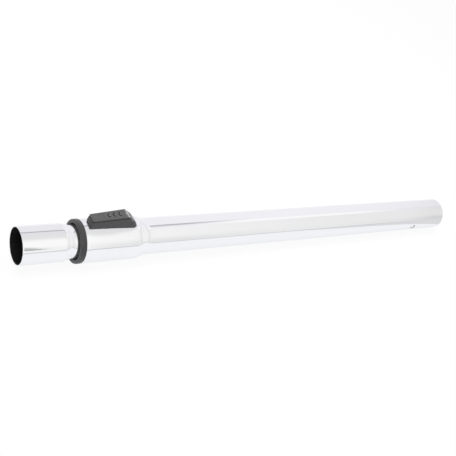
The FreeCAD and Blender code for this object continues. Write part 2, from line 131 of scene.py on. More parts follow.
# button
BUTTON_START = HEAD_START + 4.6 * MM
BUTTON_END = BUTTON_START + 48.2 * MM
BUTTON_FOOT = 18.15 * MM
BUTTON_SEAT = 20.75 * MM
BUTTON_NARROW = 6.0 * MM
BUTTON_WIDE = 8.3 * MM
BUTTON_TOP_START = BUTTON_START + 2.0 * MM
BUTTON_TOP_END = BUTTON_END - 11.0 * MM
BUTTON_TOP_NARROW = 5.0 * MM
BUTTON_TOP_WIDE = 6.05 * MM
BUTTON_FALL = 3.2 * MM
BUTTON_WALL = 1.8 * MM
BUTTON_ROOF = BUTTON_CREST - BUTTON_FALL - BUTTON_WALL
BUTTON_EDGE = 0.7 * MM
BUTTON_SHARP = 40.0
TAIL_EDGE = 3.4 * MM
TAIL_BULGE = 1.4 * MM
NOSE_ROUND = 1.5 * MM
TAIL_ROUND = 1.4 * MM
TAIL_FOOT_ROUND = 4.6 * MM
FOOT_TUCK = 0.6 * MM
TUCK_HALF, TUCK_TOP = 0.3 * MM, 0.8 * MM
HALF_TUCK_SHARE = 0.4
PLAIN_SIDE_MARGIN = 2.6 * MM
PLAIN_SIDE_SHARES = (0.25, 0.5, 0.75, 1.0)
SIDE_GROOVE = 0.45 * MM
GROOVE_WIDTH = 1.4 * MM
GROOVE_TOP, GROOVE_LIP = 0.3 * MM, 0.1 * MM
# levels of the button's side with painted shade: the tucked foot and the groove under the top edge
PAINTED_SHADE_STEPS = (2, 3, 9, 10)
PLAN_CORNER_STEPS = 9
PLAN_SIDE_STEPS = 15
EDGE_STEPS = 7
TOP_LEAN = 0.15
SPINE_SETBACK = 6.0 * MM
SPINE_SHARES = (0.25, 0.5, 0.75, 0.95)
LEG_WIDTH = 4.4 * MM
LEGS = ((80.0 * MM, 83.0 * MM), (97.0 * MM, 99.0 * MM))
ARROWS = 3
ARROW_SETBACK = 8.4 * MM
ARROW_PITCH = 5.2 * MM
ARROW_REACH = 2.0 * MM
ARROW_HALF = 2.6 * MM
ARROW_LINE = 1.3 * MM
ARROW_DEPTH = 0.5 * MM

# spring
SPRING_FOLDS = 6
SPRING_STRIP = 0.45 * MM
SPRING_BEND = 0.9 * MM
SPRING_BEND_STEPS = 6

# light tent, by a ray's direction: its part along the wand, and its turn in degrees from straight up;
# each row has a direction along the wand, then the brightness of the middle, the back and the front shade
TENT_LEVELS = (
    (0.30, 1.00, 0.85, 0.05),
    (0.38, 1.00, 0.86, 0.06),
    (0.45, 0.96, 0.88, 0.14),
    (0.50, 0.93, 0.91, 0.16),
    (0.64, 0.88, 0.92, 0.02),
    (0.70, 0.86, 0.91, 0.02),
    (0.745, 0.85, 0.88, 0.08),
    (0.768, 0.77, 0.82, 0.22),
    (0.785, 0.88, 0.90, 0.06),
    (0.85, 0.92, 0.92, 0.0),
)
NEAR_END_ALONG = (0.52, 0.60)
SEAM_ALONG, SEAM_TURN = (0.38, 0.50), (-30.0, -14.0)
SEAM_HALF, SEAM_SOFT = 2.2, 3.0
SEAM_COLOUR = (0.47, 0.46, 0.50, 1)
GREY_ALONG, GREY_REACH = (0.44, 0.50), (52.0, 10.0)
GREY_FADE = (0.7, 1.25)
GREY_DEPTH = 0.2
SHADE_TURN = (52.0, 90.0)
BACK_SOFT = 1.5
TINT_REACH = 40.0
BACK_TINT = (0.995, 0.985, 1.03, 1)
LINE_ALONG = (0.70, 0.74)
LINE_TURN, LINE_HALF, LINE_SOFT = 10.0, 6.0, 4.0
GAP_TURN = 80.0
GAP_START = 0.335
GAP_ALONG, GAP_REACH = (0.340, 0.368), 22.0
GAP_COLOUR = (0.40, 0.40, 0.41, 1)

# cards for the chrome to mirror, in metres
CARD_AWAY = 0.2
CARD_HEIGHT = 0.018
CARD_START, CARD_END = -1.5, 2.5
CARD_COLOUR = (0.62, 0.63, 0.65, 1)
FLOOR_CARD = (
    (0.43, -0.20), (0.43, -0.095), (0.443, -0.085), (0.50, -0.05),
    (0.56, -0.015), (1.5, 0.0), (1.5, -0.2),
)
FLOOR_CARD_LIFT = 1.0 * MM
FLOOR_CARD_COLOUR = (0.73, 0.73, 0.74, 1)

# floor and light
FLOOR_REACH = 6.0
FLOOR_PAINT = 0.9
FLOOR_GLOW = 0.92
FLOOR_MIRRORED = (0.90, 0.915, 0.94, 1)
SOFT_LIGHT = 0.34

# camera, from the photograph's perspective
IMAGE_WIDTH = 456
FOCAL_PIXELS = 773.0
SENSOR = 36.0
CLIP_START = 0.01
CAMERA_PLACE = Vector((-0.2285, -0.4629, 0.4543))
CAMERA_RIGHT = Vector((0.81859, -0.46135, 0.34213))
CAMERA_UP = Vector((0.06395, 0.66517, 0.74394))


def set_input(tree, socket, value):
    """Gives a socket a value, or links it to another node's socket."""
    if isinstance(value, bpy.types.NodeSocket):
        tree.links.new(value, socket)
    else:
        socket.default_value = value


def add_node(tree, kind, inputs=None, **settings):
    """A node with its settings, and inputs given as values or as other nodes' sockets."""
    node = tree.nodes.new(kind)
    for name, value in settings.items():
        setattr(node, name, value)
    for name, value in (inputs or {}).items():
        set_input(tree, node.inputs[name], value)
    return node


def calc(tree, operation, first, second=0.0):
    return add_node(tree, "ShaderNodeMath", {0: first, 1: second}, operation=operation).outputs[0]


def remap(tree, value, source, target, smooth=False):
    """The value moved from one range to another, held at its ends."""
    node = add_node(tree, "ShaderNodeMapRange", {
        "Value": value, "From Min": source[0], "From Max": source[1],
        "To Min": target[0], "To Max": target[1],
    })
    node.interpolation_type = "SMOOTHSTEP" if smooth else "LINEAR"
    return node.outputs["Result"]


def blend_colours(tree, share, first, second, kind="MIX"):
    """The first colour at a share of 0; at 1 the second, or the product of both."""
    node = add_node(tree, "ShaderNodeMix", data_type="RGBA", blend_type=kind)
    set_input(tree, node.inputs[MIX_SHARE], share)
    set_input(tree, node.inputs[MIX_FIRST], first)
    set_input(tree, node.inputs[MIX_SECOND], second)
    return node.outputs[MIX_RESULT]


def noise(tree, scale, stretch=(1, 1, 1), detail=3.0, roughness=0.55):
    """Noise in the object's own coordinates, at so many waves a metre."""
    place = add_node(tree, "ShaderNodeTexCoord").outputs["Object"]
    place = add_node(tree, "ShaderNodeMapping", {"Vector": place, "Scale": stretch}).outputs["Vector"]
    return add_node(tree, "ShaderNodeTexNoise", {
        "Vector": place, "Scale": scale, "Detail": detail, "Roughness": roughness,
    }).outputs["Fac"]


def bumped(tree, height, distance, strength=1.0, normal=None):
    inputs = {"Height": height, "Distance": distance, "Strength": strength}
    if normal is not None:
        inputs["Normal"] = normal
    return add_node(tree, "ShaderNodeBump", inputs).outputs["Normal"]


def new_material(name, **values):
    """A Principled material; values are set on the shader's own sockets."""
    material = bpy.data.materials.new(name)
    material.use_nodes = True
    tree = material.node_tree
    shader = tree.nodes["Principled BSDF"]
    for socket, value in values.items():
        shader.inputs[socket.replace("_", " ")].default_value = value
    return material, tree, shader.inputs


def bare_material(name):
    """A material with an empty node tree."""
    material = bpy.data.materials.new(name)
    material.use_nodes = True
    material.node_tree.nodes.clear()
    return material, material.node_tree


def feed(tree, sockets, **links):
    for name, source in links.items():
        tree.links.new(source, sockets[name.replace("_", " ")])


def grey(level, blue=1.0):
    return (level, level, level * blue, 1.0)


def chrome_material():
    """Bright plating on drawn tube: faint drawing lines along the wand, a little haze and waviness."""
    material, tree, sockets = new_material("chrome_plating", Metallic=1.0)
    lines = noise(tree, scale=900.0, stretch=(0.02, 1, 1), detail=2.0)
    haze = noise(tree, scale=34.0, stretch=(0.35, 1, 1), detail=4.0, roughness=0.6)
    waves = noise(tree, scale=46.0, stretch=(0.3, 1, 1), detail=1.0)
    colour = blend_colours(tree, haze, grey(0.935, 1.01), grey(0.965, 1.005))
    hazed = remap(tree, haze, (0.3, 0.75), (0.035, 0.075))
    lined = remap(tree, lines, (0.35, 0.7), (0.0, 0.03))
    normal = bumped(tree, waves, distance=0.00012, strength=0.35)
    normal = bumped(tree, lines, distance=0.000004, strength=0.5, normal=normal)
    feed(tree, sockets, Base_Color=colour, Roughness=calc(tree, "ADD", hazed, lined), Normal=normal)
    return material


def bore_material():
    """The unplated inside of the tubes: dull steel with streaks along the wand, its colour made nearly black
    as painted shade inside the tube.
    """
    material, tree, sockets = new_material("tube_bore_painted_shade", Metallic=0.35)
    streaks = noise(tree, scale=300.0, stretch=(0.05, 1, 1), detail=4.0, roughness=0.65)
    colour = blend_colours(tree, streaks, grey(0.004), grey(0.016))
    feed(tree, sockets, Base_Color=colour,
         Roughness=remap(tree, streaks, (0.3, 0.7), (0.5, 0.75)),
         Normal=bumped(tree, streaks, distance=0.00004, strength=0.4))
    return material


def dark_plastic_material(name, low, high):
    """Moulded charcoal plastic: eroded grain, uneven gloss, edges rubbed a little lighter."""
    material, tree, sockets = new_material(name, IOR=1.47)
    grain = noise(tree, scale=2600.0, detail=2.0)
    clouds = noise(tree, scale=140.0, detail=4.0, roughness=0.6)
    sinks = noise(tree, scale=60.0, detail=1.0)
    colour = blend_colours(tree, clouds, grey(low, 1.02), grey(high, 1.02))
    edge = add_node(tree, "ShaderNodeNewGeometry").outputs["Pointiness"]
    edged = remap(tree, edge, (0.51, 0.62), (0.0, 0.75))
    patchy = remap(tree, clouds, (0.35, 0.7), (0.4, 1.0))
    colour = blend_colours(tree, calc(tree, "MULTIPLY", edged, patchy), colour, grey(0.17, 1.02))
    clouded = remap(tree, clouds, (0.3, 0.75), (0.26, 0.36))
    grained = remap(tree, grain, (0.3, 0.7), (0.0, 0.06))
    normal = bumped(tree, sinks, distance=0.0002, strength=0.25)
    normal = bumped(tree, grain, distance=0.00003, strength=0.5, normal=normal)
    feed(tree, sockets, Base_Color=colour, Roughness=calc(tree, "ADD", clouded, grained), Normal=normal)
    return material


def pale_plastic_material():
    """Natural acetal: waxy off-white with faint flow marks."""
    material, tree, sockets = new_material("natural_acetal", IOR=1.48, Subsurface_Weight=0.12,
                                           Subsurface_Scale=0.002)
    flow = noise(tree, scale=120.0, stretch=(0.4, 1, 1), detail=3.0)
    grain = noise(tree, scale=1800.0, detail=2.0)
    colour = blend_colours(tree, flow, (0.70, 0.69, 0.65, 1), (0.79, 0.78, 0.75, 1))
    feed(tree, sockets, Base_Color=colour,
         Roughness=remap(tree, flow, (0.3, 0.7), (0.34, 0.48)),
         Normal=bumped(tree, grain, distance=0.00002, strength=0.4))
    return material


def felt_material():
    """Pressed grey wool: fibres in all directions and a fuzzy sheen."""
    material, tree, sockets = new_material("wiper_felt", Roughness=0.95, Sheen_Weight=0.5,
                                           Sheen_Roughness=0.5)
    fibres = noise(tree, scale=1500.0, stretch=(1, 0.4, 1), detail=5.0, roughness=0.7)
    tufts = noise(tree, scale=400.0, detail=3.0)
    colour = blend_colours(tree, fibres, grey(0.13), grey(0.30))
    height = calc(tree, "ADD", fibres, tufts)
    feed(tree, sockets, Base_Color=colour, Normal=bumped(tree, height, distance=0.00015, strength=0.8))
    return material


def steel_material(name, low, high, scale, stretch):
    """Bare steel with lines left by grinding or rolling."""
    material, tree, sockets = new_material(name, Metallic=1.0)
    lines = noise(tree, scale, stretch, detail=3.0)
    colour = blend_colours(tree, lines, low, high)
    feed(tree, sockets, Base_Color=colour,
         Roughness=remap(tree, lines, (0.3, 0.7), (0.22, 0.42)),
         Normal=bumped(tree, lines, distance=0.000008, strength=0.6))
    return material


def rubber_material():
    """Soft black rubber with a dusty bloom."""
    material, tree, sockets = new_material("seal_rubber", IOR=1.52)
    bloom = noise(tree, scale=260.0, detail=4.0, roughness=0.65)
    colour = blend_colours(tree, bloom, grey(0.014), grey(0.045))
    feed(tree, sockets, Base_Color=colour,
         Roughness=remap(tree, bloom, (0.3, 0.7), (0.6, 0.85)),
         Normal=bumped(tree, bloom, distance=0.00004, strength=0.5))
    return material


CHROME = chrome_material()
# dull steel for the tubes' inside, nearly black as painted shade of the shadowed bore
SHADED_BORE = bore_material()
BUTTON_PLASTIC = dark_plastic_material("button_plastic", low=0.054, high=0.074)
# a near-black copy of the button's plastic, used as painted shade in its grooves and along its foot
CREASE_SHADE_PLASTIC = dark_plastic_material("crease_painted_shade", low=0.010, high=0.020)
COLLAR_PLASTIC = dark_plastic_material("collar_plastic", low=0.030, high=0.044)
FELT = felt_material()
ACETAL = pale_plastic_material()
PIN_STEEL = steel_material("ground_pin", grey(0.52), grey(0.66), scale=1200.0, stretch=(1, 0.05, 1))
SPRING_STEEL = steel_material("spring_strip", (0.34, 0.32, 0.30, 1), (0.46, 0.45, 0.44, 1),
                              scale=900.0, stretch=(1, 1, 0.05))
RUBBER = rubber_material()
NODE_MATERIALS = {
    "outer_tube": CHROME,
    "inner_tube": CHROME,
    "collar_ring": COLLAR_PLASTIC,
    "slide_button": BUTTON_PLASTIC,
    "wiper_ring": FELT,
    "guide_sleeve": ACETAL,
    "lock_wedge": ACETAL,
    "end_bush": ACETAL,
    "lock_pin": PIN_STEEL,
    "return_spring": SPRING_STEEL,
    "end_seal": RUBBER,
}


def paint_nodes():
    for name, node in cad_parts.items():
        node.data.materials.clear()
        node.data.materials.append(NODE_MATERIALS[name])


def finish_mesh(name, work, materials, sharp_degrees=35.0):
    """Turns a bmesh into an object with smooth shading and sharp real edges."""
    bmesh.ops.recalc_face_normals(work, faces=work.faces)
    mesh = bpy.data.meshes.new(name)
    work.to_mesh(mesh)
    work.free()
    for material in materials:
        mesh.materials.append(material)
    mesh.polygons.foreach_set("use_smooth", [True] * len(mesh.polygons))
    mesh.set_sharp_from_angle(angle=math.radians(sharp_degrees))
    piece = bpy.data.objects.new(name, mesh)
    bpy.context.scene.collection.objects.link(piece)
    return piece


def stand_for(piece, node, body):
    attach(piece, body)
    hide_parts(node)


def spread(low, high, count):
    return [low + (high - low) * step / (count - 1) for step in range(count)]


def smooth_step(value):
    value = max(0.0, min(1.0, value))
    return value * value * (3 - 2 * value)


def bend(place, start, end, before, after):
    """A radius that swings smoothly from one value to another along the wand."""
    return before + (after - before) * smooth_step((place - start) / (end - start))


def quad(work, ring, following, turn):
    """The face between two closed rings at one of their steps."""
    beside = (turn + 1) % len(ring)
    return work.faces.new((ring[turn], ring[beside], following[beside], following[turn]))


def on_round(x, r, angle):
    """A point at an angle from the top, counted towards the near side."""
    return Vector((x, -r * math.sin(angle), r * math.cos(angle)))


def rim_arc(place, inner, outer, outward):
    """Points round a tube's end, from the outer wall to the inner one."""
    middle = (inner + outer) / 2
    points = []
    for step in range(1, RIM_STEPS):
        turn = math.pi * step / RIM_STEPS
        x = place + outward * RIM_ROUND * math.sin(turn)
        points.append((x, middle + (outer - middle) * math.cos(turn)))
    return points


def tube_loop(stations, radius_at, roll_at):
    """The closed section of a tube's wall: outside, far rim, inside, near rim."""
    start, end = stations[0], stations[-1]
    loop = [(x, radius_at(x) - roll_at(x)) for x in stations]
    loop += rim_arc(end, radius_at(end) - WALL, radius_at(end) - roll_at(end), 1)
    loop += [(x, radius_at(x) - WALL) for x in reversed(stations)]
    loop += reversed(rim_arc(start, radius_at(start) - WALL, radius_at(start) - roll_at(start), -1))
    return loop


def no_roll(x):
    return 0.0


def round_places(*extras):
    """Angles round the wand, with extra ones for openings and marks."""
    angles = [TURN * step / TUBE_SEGMENTS - math.pi for step in range(TUBE_SEGMENTS)]
    for extra in extras:
        angles = [angle for angle in angles if all(abs(angle - mark) > ANGLES_APART for mark in extra)]
        angles += extra
    return sorted(angles)


def window_cells(stations, angles, window):
    """The cells of a tube's wall, by station and turn, that a window leaves open."""
    cells = set()
    if window is None:
        return cells
    start, end, half = window
    for station in range(len(stations) - 1):
        middle_x = (stations[station] + stations[station + 1]) / 2
        for turn in range(len(angles) - 1):
            middle_turn = (angles[turn] + angles[turn + 1]) / 2
            if start < middle_x < end and abs(middle_turn) < half:
                cells.add((station, turn))
    return cells


def wrap_tube(stations, radius_at, angles, place_at, window=None, roll_at=no_roll):
    """Turns a tube's section round the axis and leaves out a window through both skins."""
    work = bmesh.new()
    loop = tube_loop(stations, radius_at, roll_at)
    rings = [[work.verts.new(place_at(x, r, angle)) for angle in angles] for x, r in loop]
    spans = len(stations) - 1
    inside_start = len(stations) + RIM_STEPS - 1
    inside = range(inside_start, inside_start + spans)
    cells = window_cells(stations, angles, window)
    for index, ring in enumerate(rings):
        following = rings[(index + 1) % len(rings)]
        station = inside.stop - 1 - index if index in inside else index
        for turn in range(len(angles)):
            if (station, turn) not in cells:
                # the inside skin takes the second material, the bore's steel with painted shade
                quad(work, ring, following, turn).material_index = int(index in inside)
    close_window(work, rings, cells, inside.stop)
    return work


def close_window(work, rings, cells, inner_end):
    """Walls between the two skins all round the window."""
    def wall(first, second):
        corners = [rings[station][turn] for station, turn in (first, second)]
        corners += [rings[inner_end - station][turn] for station, turn in (second, first)]
        work.faces.new(corners)

    for station, turn in sorted(cells):
        if (station - 1, turn) not in cells:
            wall((station, turn), (station, turn + 1))
        if (station + 1, turn) not in cells:
            wall((station + 1, turn), (station + 1, turn + 1))
        if (station, turn - 1) not in cells:
            wall((station, turn), (station + 1, turn))
        if (station, turn + 1) not in cells:
            wall((station, turn + 1), (station + 1, turn + 1))


def from_dimple(x, angle):
    return math.hypot(x - DIMPLE_PLACE, (angle - DIMPLE_TURN) * OUTER_RADIUS)


def dimple_push(x, angle):
    """How deep a ball has pressed the wall in."""
    away = min(from_dimple(x, angle), DIMPLE_BALL)
    return max(0.0, math.sqrt(DIMPLE_BALL ** 2 - away ** 2) - DIMPLE_BALL + DIMPLE_DEPTH)


def shade_dimple_edge(work):
    """Two dark arcs of painted shade on the dimple's steep edge, as the photograph's small mark has."""
    for face in work.faces:
        middle = face.calc_center_median()
        away = from_dimple(middle.x, math.atan2(-middle.y, middle.z))
        in_arc = abs(middle.x - DIMPLE_PLACE) > DIMPLE_SHADE_SPAN * away
        if in_arc and DIMPLE_SHADE_RING[0] < away < DIMPLE_SHADE_RING[1]:
            face.material_index = 1


def outer_stations(head_end, taper_end):
    """Where the outer tube has rings: closest at the rolled rim, the taper and the dimple."""
    stations = spread(HEAD_START + RIM_ROUND, HEAD_START + HEAD_ROLL_LENGTH, ROLL_STEPS)
    stations += [WINDOW_START, WINDOW_END]
    stations += spread(head_end - TAPER_BLEND, taper_end + TAPER_BLEND, TAPER_STEPS)
    stations += spread(taper_end + AFTER_TAPER, DIMPLE_PLACE - BEFORE_DIMPLE, STRAIGHT_STEPS)
    stations += spread(DIMPLE_PLACE - DIMPLE_GRID, DIMPLE_PLACE + DIMPLE_GRID, DIMPLE_STEPS)
    stations += [DIMPLE_PLACE + AFTER_DIMPLE, OUTER_END - NEAR_RIM, OUTER_END - RIM_ROUND]
    return stations


def make_outer_tube():
    """The outer tube with its wide head, rolled rim, window, taper and dimple."""
    head_end = HEAD_START + HEAD_LENGTH
    taper_end = head_end + TAPER_LENGTH

    def radius_at(x):
        return bend(x, head_end - TAPER_BLEND, taper_end + TAPER_BLEND, HEAD_RADIUS, OUTER_RADIUS)

    def place_at(x, r, angle):
        return on_round(x, r - dimple_push(x, angle), angle)

    def roll_at(x):
        return HEAD_ROLL * max(0.0, 1 - (x - HEAD_START) / HEAD_ROLL_LENGTH) ** 2

    stations = outer_stations(head_end, taper_end)
    half = math.asin(WINDOW_WIDTH / 2 / HEAD_RADIUS)
    reach = DIMPLE_GRID / OUTER_RADIUS
    angles = round_places([-half, half], spread(DIMPLE_TURN - reach, DIMPLE_TURN + reach, DIMPLE_STEPS))
    work = wrap_tube(stations, radius_at, angles, place_at, (WINDOW_START, WINDOW_END, half), roll_at)
    # painted shade in two dark arcs on the dimple's edge
    shade_dimple_edge(work)
    piece = finish_mesh("outer_tube_wall", work, [CHROME, SHADED_BORE])
    stand_for(piece, "outer_tube", "lower_tube")


def make_inner_tube():
    """The inner tube with its belled socket, shoulder and flat track."""
    shoulder_from = SOCKET_LENGTH - SHOULDER_BLEND
    shoulder_to = SOCKET_LENGTH + SHOULDER_LENGTH + SHOULDER_BLEND

    def radius_at(x):
        return bend(x, shoulder_from, shoulder_to, BELL_RADIUS, INNER_RADIUS)

    def place_at(x, r, angle):
        point = on_round(x, r, angle)
        if TRACK_START < x < TRACK_END:
            point.z = min(point.z, r - TRACK_DEPTH)
        return point

    stations = [RIM_ROUND, NEAR_RIM] + spread(SOCKET_FIRST, SOCKET_LENGTH - SOCKET_SHY, SOCKET_STEPS)
    stations += spread(shoulder_from, shoulder_to, SHOULDER_STEPS)
    stations += [TRACK_START - TRACK_EDGE, TRACK_START + TRACK_EDGE]
    stations += spread(TRACK_FIRST, TRACK_LAST, TRACK_STEPS)
    stations += [TRACK_END - TRACK_EDGE, TRACK_END + TRACK_EDGE, INNER_END - NEAR_RIM, INNER_END - RIM_ROUND]
    flat = math.acos((INNER_RADIUS - TRACK_DEPTH) / INNER_RADIUS)
    work = wrap_tube(stations, radius_at, round_places([-flat, flat]), place_at)
    piece = finish_mesh("inner_tube_wall", work, [CHROME, SHADED_BORE], sharp_degrees=30.0)
    stand_for(piece, "inner_tube", "upper_tube")


def curve_corner(before, corner, after, radius, steps=5):
    """Points that round off a corner between two neighbours."""
    corner = Vector(corner)
    into = (Vector(before) - corner).normalized() * radius
    out = (Vector(after) - corner).normalized() * radius
    points = []
    for step in range(steps + 1):
        share = step / steps
        points.append(tuple(corner + into * (1 - share) ** 2 + out * share ** 2))
    return points


def rounded_loop(corners):
    """A closed loop of (x, radius, rounding) corners with each corner rounded."""
    points = []
    count = len(corners)
    for index, (x, r, rounding) in enumerate(corners):
        before = corners[index - 1][:2]
        after = corners[(index + 1) % count][:2]
        if rounding:
            points += curve_corner(before, (x, r), after, rounding)
        else:
            points.append((x, r))
    return points


def make_collar():
    """The flange with its soft outer edge and a coned mouth, and the spigot that holds the wiper."""
    front = COLLAR_START + COLLAR_SHY
    loop = rounded_loop([
        (front, COLLAR_BORE + COLLAR_LEAD, COLLAR_SMALL_ROUND),
        (front, COLLAR_RADIUS, COLLAR_ROUND),
        (HEAD_START, COLLAR_RADIUS, COLLAR_SMALL_ROUND),
        (HEAD_START, COLLAR_SEAT, 0),
        (COLLAR_END, COLLAR_SEAT, COLLAR_SMALL_ROUND),
        (COLLAR_END, WIPER_BORE, 0),
        (HEAD_START + COLLAR_LIP, WIPER_BORE, 0),
        (HEAD_START + COLLAR_LIP, COLLAR_BORE, 0),
        (front + COLLAR_LEAD_LENGTH, COLLAR_BORE, COLLAR_SMALL_ROUND),
    ])
    work = bmesh.new()
    angles = [TURN * step / TUBE_SEGMENTS for step in range(TUBE_SEGMENTS)]
    rings = [[work.verts.new(on_round(x, r, angle)) for angle in angles] for x, r in loop]
    for index, ring in enumerate(rings):
        for turn in range(TUBE_SEGMENTS):
            quad(work, ring, rings[(index + 1) % len(rings)], turn)
    piece = finish_mesh("collar_moulding", work, [COLLAR_PLASTIC], sharp_degrees=50.0)
    stand_for(piece, "collar_ring", "lower_tube")


def plan_ring(start, end, narrow, wide, nose, tail, inset=0.0):
    """The button's plan with rounded corners, as points (x, y) all the way round."""
    corners = [
        (start + inset, -narrow + inset, nose), (end - inset, -wide + inset, tail),
        (end - inset, wide - inset, tail), (start + inset, narrow - inset, nose),
    ]
    points = []
    for index, (x, y, radius) in enumerate(corners):
        before = corners[index - 1][:2]
        after_x, after_y, after_radius = corners[(index + 1) % len(corners)]
        points += curve_corner(before, (x, y), (after_x, after_y), radius, PLAN_CORNER_STEPS)
        side = Vector((after_x, after_y)) - Vector((x, y))
        first = (radius + RIM_ROUND) / side.length
        last = 1 - (after_radius + RIM_ROUND) / side.length
        for share in spread(first, last, PLAN_SIDE_STEPS):
            points.append(tuple(Vector((x, y)) + side * share))
    return [Vector(point) for point in points]


def top_height(x):
    """Height of the button's sloping top."""
    return BUTTON_CREST - BUTTON_FALL * (BUTTON_TOP_END - x) / (BUTTON_TOP_END - BUTTON_TOP_START)


def top_height_over(point):
    return top_height(point.x)


def seat_height(point):
    """Height of the round seat that the button's foot follows."""
    return math.sqrt(BUTTON_SEAT ** 2 - point.y ** 2)


def roof_height(point):
    return BUTTON_ROOF


def side_point(foot, crest, share):
    point = foot.lerp(crest, share)
    height = BUTTON_FOOT + (BUTTON_CREST - BUTTON_FOOT) * share
    return Vector((point.x, point.y, height))


def side_meets(foot, crest, height_at):
    """The point where a side line meets a surface, found by halving."""
    low, high = 0.0, 1.0
    for _ in range(HALVINGS):
        middle = (low + high) / 2
        point = side_point(foot, crest, middle)
        if point.z < height_at(point):
            low = middle
        else:
            high = middle
    return side_point(foot, crest, low)


def side_line(seat, edge, inward, bulge):
    """Points up the side: tucked in at the foot, swelling in the middle, drawn in under the top edge."""
    height = edge.z - seat.z
    levels = [(0.0, FOOT_TUCK), (TUCK_HALF, HALF_TUCK_SHARE * FOOT_TUCK), (TUCK_TOP, 0.0)]
    levels += [(TUCK_TOP + (height - PLAIN_SIDE_MARGIN) * share, 0.0) for share in PLAIN_SIDE_SHARES]
    levels += [(height - GROOVE_WIDTH, SIDE_GROOVE), (height - GROOVE_TOP, SIDE_GROOVE)]
    levels += [(height - GROOVE_LIP, 0.0)]
    points = []
    for level, depth in levels:
        share = level / height
        swell = 4 * share * (1 - share) * bulge
        points.append(seat.lerp(edge, share) + inward * (depth - swell))
    return points


def top_line(start):
    """Points from the top's edge in towards its spine."""
    x = max(BUTTON_TOP_START + SPINE_SETBACK, min(BUTTON_TOP_END - SPINE_SETBACK, start.x))
    spine = Vector((x, 0, top_height(x)))
    return [start.lerp(spine, share) for share in SPINE_SHARES]


def over_top(corner):
    """The direction from the top's edge in over the sloping top."""
    across = Vector((TOP_LEAN * (BUTTON_TOP_START + BUTTON_TOP_END - 2 * corner.x), -corner.y, 0))
    across.z = BUTTON_FALL / (BUTTON_TOP_END - BUTTON_TOP_START) * across.x
    return across


def button_column(low, high, inner_low, inner_high):
    """Points from the hollow's roof, round the foot and up the side to the sloping top."""
    corner = side_meets(low, high, top_height_over)
    seat = side_meets(low, high, seat_height)
    at_tail = smooth_step((corner.x - BUTTON_TOP_END + TAIL_ROUND) / TAIL_ROUND)
    at_nose = 1 - smooth_step((corner.x - BUTTON_TOP_START) / NOSE_ROUND)
    across = 1 - max(at_nose, at_tail)
    inward = Vector((at_nose - at_tail, -math.copysign(across, corner.y), 0)).normalized()
    rounding = BUTTON_EDGE + (TAIL_EDGE - BUTTON_EDGE) * at_tail
    onto_top = over_top(corner)
    edge = [Vector(point) for point in curve_corner(seat, corner, corner + onto_top, rounding, EDGE_STEPS)]
    flat = edge[-1] + onto_top.normalized() * BUTTON_EDGE / 2
    side = side_line(seat, edge[0], inward, TAIL_BULGE * at_tail)
    inner_seat = side_meets(inner_low, inner_high, seat_height)
    inner_roof = side_meets(inner_low, inner_high, roof_height)
    return [inner_roof, inner_seat] + side + edge + [flat] + top_line(flat)


def button_columns():
    """The button's skin as columns of points, all the way round its plan."""
    foot_size = (BUTTON_START, BUTTON_END, BUTTON_NARROW, BUTTON_WIDE)
    crest_size = (BUTTON_TOP_START, BUTTON_TOP_END, BUTTON_TOP_NARROW, BUTTON_TOP_WIDE)
    foot = plan_ring(*foot_size, NOSE_ROUND, TAIL_FOOT_ROUND)
    crest = plan_ring(*crest_size, NOSE_ROUND, TAIL_ROUND)
    inner_foot = plan_ring(*foot_size, NOSE_ROUND / 2, TAIL_ROUND / 2, BUTTON_WALL)
    inner_crest = plan_ring(*crest_size, NOSE_ROUND / 2, TAIL_ROUND / 2, BUTTON_WALL)
    return [button_column(*lines) for lines in zip(foot, crest, inner_foot, inner_crest)]


def make_button():
    """A hollow ridge with a sloping top, soft edges, arrow grooves and two legs for the carriage, with
    painted shade in its grooves and along its foot.
    """
    work = bmesh.new()
    columns = [[work.verts.new(point) for point in column] for column in button_columns()]
    for index, column in enumerate(columns):
        following = columns[(index + 1) % len(columns)]
        for level in range(len(column) - 1):
            face = work.faces.new((column[level], following[level], following[level + 1], column[level + 1]))
            # the tucked foot and the groove under the top edge take the darker plastic as painted shade
            face.material_index = int(level in PAINTED_SHADE_STEPS)
    work.faces.new([column[-1] for column in columns])
    work.faces.new([column[0] for column in columns])
    piece = finish_mesh("button_moulding", work, [BUTTON_PLASTIC, CREASE_SHADE_PLASTIC], BUTTON_SHARP)
    for start, end in LEGS:
        leg = box_tool(start, end, LEG_WIDTH, BUTTON_LEG_FOOT, BUTTON_ROOF + BUTTON_WALL / 2)
        combine(piece, leg, "UNION")
    for index in range(ARROWS):
        combine(piece, arrow_tool(index), "DIFFERENCE")
    piece.data.set_sharp_from_angle(angle=math.radians(BUTTON_SHARP))
    stand_for(piece, "slide_button", "button")


def box_tool(start, end, width, low, high):
    work = bmesh.new()
    size = Matrix.Diagonal((end - start, width, high - low, 1))
    place = Matrix.Translation(((start + end) / 2, 0, (low + high) / 2))
    bmesh.ops.create_cube(work, size=1.0, matrix=place @ size)
    return finish_mesh("tool", work, [])


